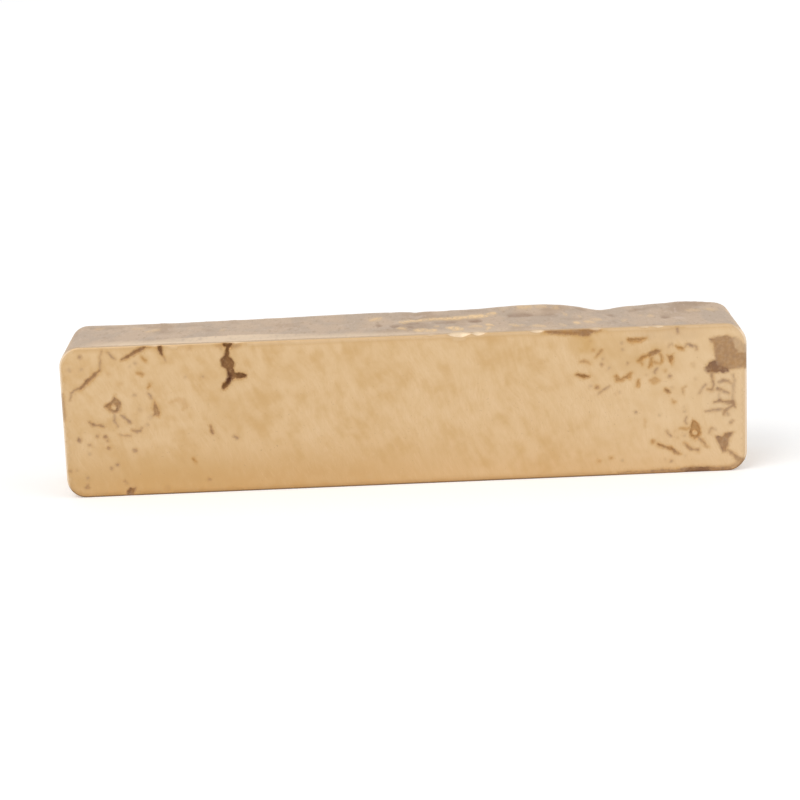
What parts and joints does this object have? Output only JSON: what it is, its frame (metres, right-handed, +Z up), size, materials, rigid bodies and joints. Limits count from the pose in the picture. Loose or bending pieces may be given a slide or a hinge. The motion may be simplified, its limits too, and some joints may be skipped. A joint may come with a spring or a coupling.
{
  "type": "brass bar",
  "caption": "Cast brass bar of about one kilogram, its front face ground bright with open pits and cracks, its other sides under grey-beige casting skin.",
  "frame": {"origin": "on the floor, in the middle of the bar's length and depth, as it lies on its lower long side", "axes": "+X along the bar, to the right seen from the ground face; +Y from the ground face to the poured side behind; +Z up"},
  "size_m": [0.1608, 0.0242, 0.0376],
  "materials": {
    "brass": "ground satin face, other sides under matt grey-beige casting skin"
  },
  "bodies": {
    "root": {"cast_bar": "brass"}
  },
  "joints": []
}
